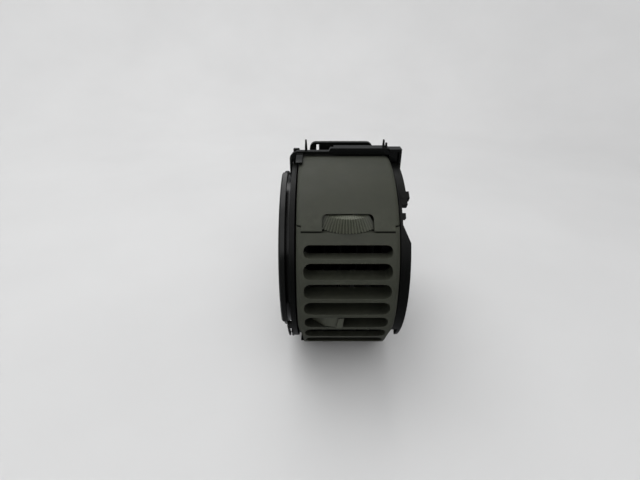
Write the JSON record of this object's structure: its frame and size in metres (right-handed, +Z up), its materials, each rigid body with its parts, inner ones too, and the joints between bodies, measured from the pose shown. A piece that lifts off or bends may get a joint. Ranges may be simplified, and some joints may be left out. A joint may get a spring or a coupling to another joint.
{
  "type": "barrel air vent",
  "caption": "Dashboard barrel air vent: tilting drum with slotted grille, steerable upright vanes, thumbwheel-driven damper and a black duct housing with a rear gasket.",
  "frame": {"origin": "on the flat underside of the housing, straight below the drum's axle and half way between the drum's side edges", "axes": "+X along the drum's axle to the viewer's right, -Y out of the grille towards the cabin, +Z up; the rear flange faces +Y"},
  "size_m": [0.0692, 0.1318, 0.133],
  "materials": {
    "face_plastic": "dark brown-grey moulded plastic with a fine matt grain",
    "black_plastic": "black moulded polypropylene, half matt",
    "satin_black_plastic": "black moulded plastic with a satin sheen",
    "acetal": "natural white acetal, smooth",
    "foam": "dark green-grey closed-cell foam",
    "felt": "black needle felt",
    "steel": "bright rolled steel",
    "zinc_plated_steel": "zinc-plated steel"
  },
  "bodies": {
    "housing": {"housing_body": "black_plastic", "side_cover": "black_plastic", "hub_cover": "satin_black_plastic", "duct_gasket": "foam", "front_bridge": "satin_black_plastic", "felt_seal_top": "felt", "felt_seal_bottom": "felt", "bush_left": "acetal", "bush_right": "acetal", "friction_felt": "felt", "wave_spring": "steel", "cover_screw_1": "zinc_plated_steel", "cover_screw_2": "zinc_plated_steel", "cover_screw_3": "zinc_plated_steel", "hub_screw_1": "zinc_plated_steel", "hub_screw_2": "zinc_plated_steel", "hub_screw_3": "zinc_plated_steel"},
    "drum": {"drum_grille": "face_plastic", "drum_cover": "face_plastic", "drum_end_left": "black_plastic", "drum_end_right": "black_plastic", "drum_roof": "black_plastic", "drum_floor": "black_plastic", "drum_apron": "black_plastic", "friction_disc": "steel", "retaining_clip": "zinc_plated_steel", "thumbwheel_axle": "steel", "thumbwheel_washer": "felt"},
    "wheel": {"thumbwheel": "face_plastic"},
    "link": {"damper_link": "acetal"},
    "damper": {"damper_flap": "black_plastic", "damper_crank": "acetal", "damper_seal": "foam"},
    "vane_1": {"vane_1": "black_plastic"},
    "vane_2": {"vane_2": "black_plastic"},
    "vane_3": {"vane_3": "black_plastic"},
    "vane_4": {"vane_4": "black_plastic"},
    "vane_5": {"vane_5": "black_plastic"},
    "tie_bar": {"tie_bar": "black_plastic"},
    "steering_tab": {"steering_tab": "face_plastic"}
  },
  "joints": [
    {"name": "drum_tilt", "type": "hinge", "parent": "housing", "child": "drum", "pos_m": [0, 0, 0.064], "axis": [1, 0, 0], "range_deg": [-20, 25]},
    {"name": "wheel_turn", "type": "hinge", "parent": "drum", "child": "wheel", "pos_m": [0, -0.03, 0.102], "axis": [0, 0, 1], "range_deg": [0, 80]},
    {"name": "link_pivot", "type": "hinge", "parent": "wheel", "child": "link", "pos_m": [0.00594, -0.03535, 0.1033], "axis": [0, 0, 1], "range_deg": [-80, 0]},
    {"name": "damper_turn", "type": "hinge", "parent": "drum", "child": "damper", "pos_m": [0, 0.006, 0.064], "axis": [0, 0, 1], "range_deg": [0, 80]},
    {"name": "vane_1_turn", "type": "hinge", "parent": "drum", "child": "vane_1", "pos_m": [-0.0168, -0.037, 0.064], "axis": [0, 0, 1], "range_deg": [-8, 52]},
    {"name": "vane_2_turn", "type": "hinge", "parent": "drum", "child": "vane_2", "pos_m": [-0.0084, -0.037, 0.064], "axis": [0, 0, 1], "range_deg": [-8, 52]},
    {"name": "vane_3_turn", "type": "hinge", "parent": "drum", "child": "vane_3", "pos_m": [0, -0.037, 0.064], "axis": [0, 0, 1], "range_deg": [-8, 52]},
    {"name": "vane_4_turn", "type": "hinge", "parent": "drum", "child": "vane_4", "pos_m": [0.0084, -0.037, 0.064], "axis": [0, 0, 1], "range_deg": [-8, 52]},
    {"name": "vane_5_turn", "type": "hinge", "parent": "drum", "child": "vane_5", "pos_m": [0.0168, -0.037, 0.064], "axis": [0, 0, 1], "range_deg": [-8, 52]},
    {"name": "tie_bar_pivot", "type": "hinge", "parent": "vane_3", "child": "tie_bar", "pos_m": [0.00281, -0.03005, 0.064], "axis": [0, 0, 1], "range_deg": [-52, 8]},
    {"name": "tab_slide", "type": "slide", "parent": "drum", "child": "steering_tab", "axis": [1, 0, 0], "range_m": [-0.0011, 0.007]}
  ],
  "couplings": [
    {"joint": "link_pivot", "follows": "wheel_turn", "ratio": -1},
    {"joint": "damper_turn", "follows": "wheel_turn", "ratio": 1},
    {"joint": "vane_1_turn", "follows": "vane_3_turn", "ratio": 1},
    {"joint": "vane_2_turn", "follows": "vane_3_turn", "ratio": 1},
    {"joint": "vane_4_turn", "follows": "vane_3_turn", "ratio": 1},
    {"joint": "vane_5_turn", "follows": "vane_3_turn", "ratio": 1},
    {"joint": "tie_bar_pivot", "follows": "vane_3_turn", "ratio": -1},
    {"joint": "tab_slide", "follows": "vane_3_turn", "m_per_rad": 0.00764}
  ]
}
